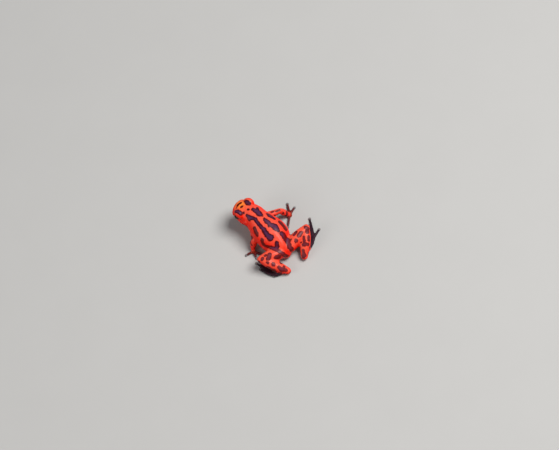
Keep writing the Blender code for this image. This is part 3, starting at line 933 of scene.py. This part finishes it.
def mottle_group():
    """A group that varies round a half at a given size in metres."""
    tree = bpy.data.node_groups.new("fine_mottle", "ShaderNodeTree")
    tree.interface.new_socket("Spots per metre", in_out="INPUT", socket_type="NodeSocketFloat")
    tree.interface.new_socket("Strength", in_out="INPUT", socket_type="NodeSocketFloat")
    tree.interface.new_socket("Value", in_out="OUTPUT", socket_type="NodeSocketFloat")
    start, end = tree.nodes.new("NodeGroupInput"), tree.nodes.new("NodeGroupOutput")
    place = tree.nodes.new("ShaderNodeTexCoord")
    noise = add_node(tree, "ShaderNodeTexNoise", Detail=3.0, Roughness=0.6)
    centred = tree.nodes.new("ShaderNodeMath")
    centred.operation = "SUBTRACT"
    centred.inputs[1].default_value = 0.5
    scaled = tree.nodes.new("ShaderNodeMath")
    scaled.operation = "MULTIPLY"
    link(tree, place.outputs["Object"], noise.inputs["Vector"])
    link(tree, start.outputs["Spots per metre"], noise.inputs["Scale"])
    link(tree, noise.outputs["Fac"], centred.inputs[0])
    link(tree, centred.outputs[0], scaled.inputs[0])
    link(tree, start.outputs["Strength"], scaled.inputs[1])
    link(tree, scaled.outputs[0], end.inputs["Value"])
    return tree


FINE_MOTTLE = mottle_group()


def place_mottle(tree, per_metre, strength):
    """Places the mottle group in a material and returns its output."""
    node = tree.nodes.new("ShaderNodeGroup")
    node.node_tree = FINE_MOTTLE
    node.inputs["Spots per metre"].default_value = per_metre
    node.inputs["Strength"].default_value = strength
    return node.outputs["Value"]


def mix_colour(tree, share, first, second):
    """Mixes two colours, each a fixed colour or a socket, by a share."""
    mix = tree.nodes.new("ShaderNodeMix")
    mix.data_type = "RGBA"
    for value, socket in ((share, mix.inputs[0]), (first, mix.inputs[6]), (second, mix.inputs[7])):
        if isinstance(value, bpy.types.NodeSocket):
            link(tree, value, socket)
        else:
            socket.default_value = value
    return mix.outputs[2]


def mask_of(tree, name):
    """The number that the mesh keeps under a name."""
    node = tree.nodes.new("ShaderNodeAttribute")
    node.attribute_name = name
    return node.outputs["Fac"]


def calculate(tree, operation, first, second):
    """One sum on two values, each a number or a socket."""
    node = tree.nodes.new("ShaderNodeMath")
    node.operation = operation
    for value, socket in ((first, node.inputs[0]), (second, node.inputs[1])):
        if isinstance(value, bpy.types.NodeSocket):
            link(tree, value, socket)
        else:
            socket.default_value = value
    return node.outputs[0]


def soft_step(tree, value, start, end):
    """0 before start and 1 after end."""
    node = tree.nodes.new("ShaderNodeMapRange")
    node.interpolation_type = "SMOOTHSTEP"
    node.inputs["From Min"].default_value = start
    node.inputs["From Max"].default_value = end
    link(tree, value, node.inputs["Value"])
    return node.outputs["Result"]


def new_material(name, **settings):
    """A material with one Principled BSDF, whose fixed sockets are set directly."""
    material = bpy.data.materials.new(name)
    material.use_nodes = True
    shader = material.node_tree.nodes["Principled BSDF"]
    for socket, value in settings.items():
        shader.inputs[socket.replace("_", " ")].default_value = value
    return material, material.node_tree, shader


print("group made:", FINE_MOTTLE.name)

# %% [markdown]
# ## The skin's material
#
# Dart frog skin is wet over a strong pigment. The ground is mixed from the masks: a deep
# red on the flanks, a paler, cooler red on top that is a painted sheen of the sky, a darker red
# as painted shade where the skin faces aside and down, and a pale orange red below. The
# wetness is a thin clear coat over a middling roughness.

# %% The skin's red ground
FLANK_RED = (0.95, 0.014, 0.0008, 1.0)
# A paler, cooler red for what faces up: a painted sheen of the sky.
BACK_SHEEN_RED = (0.88, 0.1, 0.055, 1.0)
SHADED_RED = (0.45, 0.004, 0.001, 1.0)
DEEP_RED = (0.5, 0.008, 0.002, 1.0)
SNOUT_ORANGE = (1.0, 0.3, 0.03, 1.0)
BELLY_PALE = (0.8, 0.15, 0.04, 1.0)
MARK_EDGE = (0.09, 0.001, 0.002, 1.0)
MARK_DARK = (0.034, 0.004, 0.014, 1.0)
# A paler purple for the centres of marks that face up: a painted reflection of the sky.
MARK_SHEEN_CENTRE = (0.08, 0.02, 0.065, 1.0)
LIMB_MARK = (0.22, 0.024, 0.027, 1.0)
SIDE_MARK = (0.14, 0.002, 0.0008, 1.0)
# A dark red for the lips' crease and the nostrils: painted shade.
CREASE_SHADE = (0.07, 0.003, 0.002, 1.0)
PALM_MAROON = (0.26, 0.018, 0.005, 1.0)
FINGER_DARK = (0.03, 0.013, 0.022, 1.0)
DISC_PALE = (0.2, 0.17, 0.17, 1.0)

skin_material, tree, shader = new_material(
    "frog_skin",
    Roughness=0.42,
    Coat_Weight=0.14,
    Coat_Roughness=0.22,
    Subsurface_Weight=0.12,
    Subsurface_Scale=0.0006,
    Specular_IOR_Level=0.12,
)
shader.inputs["Subsurface Radius"].default_value = (1.0, 0.25, 0.1)
shader.inputs["Specular Tint"].default_value = (1.0, 0.55, 0.55, 1.0)
# Painted sky sheen on what faces up.
red = mix_colour(tree, mask_of(tree, "upward"), FLANK_RED, BACK_SHEEN_RED)
# Painted shade on what faces aside and down.
red = mix_colour(tree, mask_of(tree, "painted_shade"), red, SHADED_RED)
red = mix_colour(tree, mask_of(tree, "orange"), red, SNOUT_ORANGE)
frayed = calculate(tree, "ADD", mask_of(tree, "underside"), place_mottle(tree, 1200.0, 0.8))
red = mix_colour(tree, soft_step(tree, frayed, 0.2, 0.95), red, BELLY_PALE)
varied = calculate(tree, "ADD", place_mottle(tree, 2400.0, 0.5), place_mottle(tree, 700.0, 0.7))
varied = calculate(tree, "ADD", varied, 0.12)
red = mix_colour(tree, varied, red, DEEP_RED)
print("red ground mixed")

# %% [markdown]
# Where the back faces up the marks are purple black with a paler purple centre, a painted
# reflection of the sky. Where they face aside and on the snout they are dark red, and on the
# limbs they are paler. Two mottles, one coarse and one fine, fray their edges.

# %% Marks on the red
wavy = calculate(tree, "ADD", mask_of(tree, "marking"), place_mottle(tree, 640.0, 1.2))
ragged = calculate(tree, "ADD", wavy, place_mottle(tree, 2200.0, 0.32))
edged = mix_colour(tree, soft_step(tree, ragged, -0.02, 0.18), MARK_EDGE, red)
# Painted sky reflection: a paler purple in the marks' centres.
dark = mix_colour(tree, soft_step(tree, ragged, -0.5, -0.15), MARK_SHEEN_CENTRE, MARK_DARK)
paler = calculate(tree, "MULTIPLY", mask_of(tree, "limb"), 0.65)
dark = mix_colour(tree, paler, dark, LIMB_MARK)
# Marks facing up keep the painted sky reflection; marks facing aside are dark red.
dark = mix_colour(tree, soft_step(tree, mask_of(tree, "upward"), 0.3, 0.9), SIDE_MARK, dark)
dark = mix_colour(tree, mask_of(tree, "orange"), dark, SIDE_MARK)
colour = mix_colour(tree, soft_step(tree, ragged, -0.16, 0.04), dark, edged)
# Painted shade in the lips' crease and the nostrils.
colour = mix_colour(tree, mask_of(tree, "crease"), colour, CREASE_SHADE)
print("marks mixed")

# %% [markdown]
# Maroon palms, dark digits and pale discs lie over all the rest.

# %% Hands and discs
frayed = calculate(tree, "ADD", mask_of(tree, "dark_skin"), place_mottle(tree, 1500.0, 1.0))
hand = mix_colour(tree, mask_of(tree, "finger"), PALM_MAROON, FINGER_DARK)
colour = mix_colour(tree, soft_step(tree, frayed, 0.3, 0.75), colour, hand)
worn = calculate(tree, "ADD", mask_of(tree, "pale_tip"), place_mottle(tree, 3000.0, 0.5))
colour = mix_colour(tree, soft_step(tree, worn, 0.35, 0.85), colour, DISC_PALE)
link(tree, colour, shader.inputs["Base Color"])
rough = calculate(tree, "ADD", place_mottle(tree, 5200.0, 0.3), 0.42)
link(tree, rough, shader.inputs["Roughness"])

print("hands mixed")

# %% [markdown]
# The finest grain is a bump, as its grains are a fifth of a millimetre wide and far lower.

# %% The fine grain
GRAINS_PER_METRE = 5400.0
BUMP_STRENGTH, BUMP_HEIGHT = 0.6, 0.00008

place = tree.nodes.new("ShaderNodeTexCoord")
grains = add_node(tree, "ShaderNodeTexVoronoi", Scale=GRAINS_PER_METRE, Randomness=0.9)
grains.feature = "SMOOTH_F1"
link(tree, place.outputs["Object"], grains.inputs["Vector"])
relief = tree.nodes.new("ShaderNodeBump")
relief.invert = True
relief.inputs["Strength"].default_value = BUMP_STRENGTH
relief.inputs["Distance"].default_value = BUMP_HEIGHT
link(tree, grains.outputs["Distance"], relief.inputs["Height"])
link(tree, relief.outputs["Normal"], shader.inputs["Normal"])
skin.data.materials.append(skin_material)
print("skin material:", len(tree.nodes), "nodes")

# %% [markdown]
# ## The eyes
#
# The eyes are almost black, with a very dark brown iris round a wide oval pupil, and a wet
# cornea that bulges a little. Each is modelled as a sphere whose poles lie on the eye's own
# axis: its front rings are picked by their place and pulled out into the cornea.

# %% Model the eyes
PUPIL_WIDTH = 0.58
PUPIL_HEIGHT = 0.43
IRIS_RADIUS = 0.96
CORNEA_BULGE = 0.07

eyes = []
for name, side in SIDES:
    axis = Vector(on_side(EYE_AXIS, side)).normalized()
    facing = axis.to_track_quat("Z", "Y").to_matrix().to_4x4()
    bpy.ops.object.select_all(action="DESELECT")
    bpy.ops.mesh.primitive_uv_sphere_add(segments=64, ring_count=40, radius=EYE_RADIUS)
    eye = bpy.context.view_layer.objects.active
    eye.name = eye.data.name = f"eye_{name}_ball"
    places = points_of(eye)
    front = np.hypot(places[:, 0], places[:, 1])
    bulge = ramp(-front, -IRIS_RADIUS, -0.2) * (places[:, 2] > 0)
    keep_mask(eye, "iris", np.where(places[:, 2] > 0, ramp(-front, -IRIS_RADIUS, -0.89), 0))
    places[:, 2] += CORNEA_BULGE * bulge
    set_points(eye, places)
    eye.data.transform(Matrix.Translation(on_side(EYE_CENTRE, side)) @ facing)
    upright = np.array(facing.to_3x3().inverted() @ Vector((0.0, 0.0, 1.0)))[:2]
    upright /= np.linalg.norm(upright)
    flat = np.array((upright[1], -upright[0]))
    local = points_of(eye) - on_side(EYE_CENTRE, side)
    local = local @ np.array(facing.to_3x3())
    across, over = local[:, :2] @ flat, local[:, :2] @ upright
    pupil = np.hypot(across / PUPIL_WIDTH, over / PUPIL_HEIGHT)
    keep_mask(eye, "pupil", np.where(local[:, 2] > 0, pupil, 9.0))
    keep_mask(eye, "around", np.arctan2(over, across))
    set_points(eye, to_row(turn(points_of(eye))))
    pick(eye)
    bpy.ops.object.shade_smooth()
    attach(eye, "root")
    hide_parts(f"eye_{name}")
    eyes.append(eye)
print(len(eyes), "eyes,", len(eyes[0].data.polygons), "faces each")

# %% Wet and nearly black
PUPIL_BLACK = (0.002, 0.002, 0.002, 1.0)
EYE_RIM = (0.008, 0.005, 0.005, 1.0)
IRIS_DARK = (0.005, 0.002, 0.002, 1.0)
IRIS_BROWN = (0.05, 0.02, 0.007, 1.0)
IRIS_FLECK = (0.02, 0.01, 0.006, 1.0)

eye_material, tree, shader = new_material(
    "wet_eye",
    Roughness=0.16,
    Coat_Weight=0.18,
    Coat_IOR=1.4,
    Coat_Roughness=0.03,
    Specular_IOR_Level=0.08,
)
fibres = add_node(tree, "ShaderNodeTexNoise", Scale=9.0, Detail=4.0)
fibres.noise_dimensions = "2D"
combine = tree.nodes.new("ShaderNodeCombineXYZ")
link(tree, mask_of(tree, "around"), combine.inputs["X"])
thin = calculate(tree, "MULTIPLY", mask_of(tree, "pupil"), 0.12)
link(tree, thin, combine.inputs["Y"])
link(tree, combine.outputs[0], fibres.inputs["Vector"])
brown = mix_colour(tree, fibres.outputs["Fac"], IRIS_DARK, IRIS_BROWN)
flecked = calculate(tree, "ADD", place_mottle(tree, 9000.0, 0.8), 0.3)
brown = mix_colour(tree, flecked, brown, IRIS_FLECK)
open_iris = soft_step(tree, mask_of(tree, "pupil"), 0.96, 1.08)
colour = mix_colour(tree, open_iris, PUPIL_BLACK, brown)
colour = mix_colour(tree, mask_of(tree, "iris"), EYE_RIM, colour)
link(tree, colour, shader.inputs["Base Color"])
for eye in eyes:
    eye.data.materials.append(eye_material)
print("eye material:", len(tree.nodes), "nodes")

# %% [markdown]
# ## Floor, light and camera
#
# The frog is shown as on a museum's plain pale table, under soft light from above. The
# camera looks down from behind the frog's left hip. It stands far off with a long lens, so
# that the picture is as flat as the photograph's, and it is rolled to the same slant.

# %% A plain pale floor
FLOOR_SIZE = 6.0
FLOOR_SHADE = (0.46, 0.455, 0.445, 1.0)
FLOOR_PALE = (0.5, 0.495, 0.485, 1.0)

bpy.ops.object.select_all(action="DESELECT")
bpy.ops.mesh.primitive_plane_add(size=FLOOR_SIZE)
floor = bpy.context.view_layer.objects.active
floor.name = "floor"
floor_material, tree, shader = new_material("pale_floor", Roughness=0.75)
cloudy = calculate(tree, "ADD", place_mottle(tree, 60.0, 0.5), 0.5)
shade = mix_colour(tree, cloudy, FLOOR_SHADE, FLOOR_PALE)
link(tree, shade, shader.inputs["Base Color"])
floor.data.materials.append(floor_material)
print("floor:", FLOOR_SIZE, "m wide")

# %% Soft light
ROOM_COLOUR = (0.86, 0.91, 1.0, 1.0)
ROOM_STRENGTH = 0.15
FROG_MIDDLE = (0.0, 10.0, 3.0)

world = bpy.data.worlds.new("pale_room")
world.use_nodes = True
world.node_tree.nodes["Background"].inputs["Color"].default_value = ROOM_COLOUR
world.node_tree.nodes["Background"].inputs["Strength"].default_value = ROOM_STRENGTH
bpy.context.scene.world = world
middle = Vector(to_row(FROG_MIDDLE))


def soft_lamp(name, offset, size, power, colour):
    """A round area lamp that faces the frog."""
    lamp = bpy.data.lights.new(name, "AREA")
    lamp.shape, lamp.size = "DISK", size
    lamp.energy, lamp.color = power, colour
    obj = bpy.data.objects.new(name, lamp)
    bpy.context.scene.collection.objects.link(obj)
    obj.location = middle + Vector(offset)
    obj.rotation_mode = "QUATERNION"
    obj.rotation_quaternion = Vector(offset).to_track_quat("Z", "Y")
    return obj


soft_lamp("sky_lamp", (-0.32, 0.24, 0.68), 0.45, 7.4, (1.0, 0.99, 0.97))
soft_lamp("fill_lamp", (0.6, -0.1, 0.35), 0.4, 1.3, (1.0, 0.97, 0.94))
print(len(bpy.data.lights), "lamps")

# %% The camera
DISTANCE = 900.0
SENSOR = 36.0
FOCUS = (0.0, 10.0, 4.0)
CLIP_NEAR, CLIP_FAR = 0.01, 10.0

aside = (IMAGE_WIDTH / 2 - SNOUT_PIXEL[0]) / PIXELS_PER_MM
above = (SNOUT_PIXEL[1] - IMAGE_HEIGHT / 2) / PIXELS_PER_MM
depth = np.dot(FOCUS, towards)
aim = aside * right + above * up + depth * towards

camera_data = bpy.data.cameras.new("camera")
camera_data.sensor_width = SENSOR
camera_data.lens = SENSOR * DISTANCE * PIXELS_PER_MM / IMAGE_WIDTH
camera_data.clip_start, camera_data.clip_end = CLIP_NEAR, CLIP_FAR
camera = bpy.data.objects.new("camera", camera_data)
bpy.context.scene.collection.objects.link(camera)
axes = Matrix((right, up, towards)).transposed().to_4x4()
camera.matrix_world = Matrix.Translation(to_row(aim + DISTANCE * towards)) @ axes
bpy.context.scene.camera = camera
bpy.context.scene.view_settings.view_transform = "Standard"
print("lens", round(camera_data.lens, 1), "mm, camera", round(camera.location.z, 3), "m up")
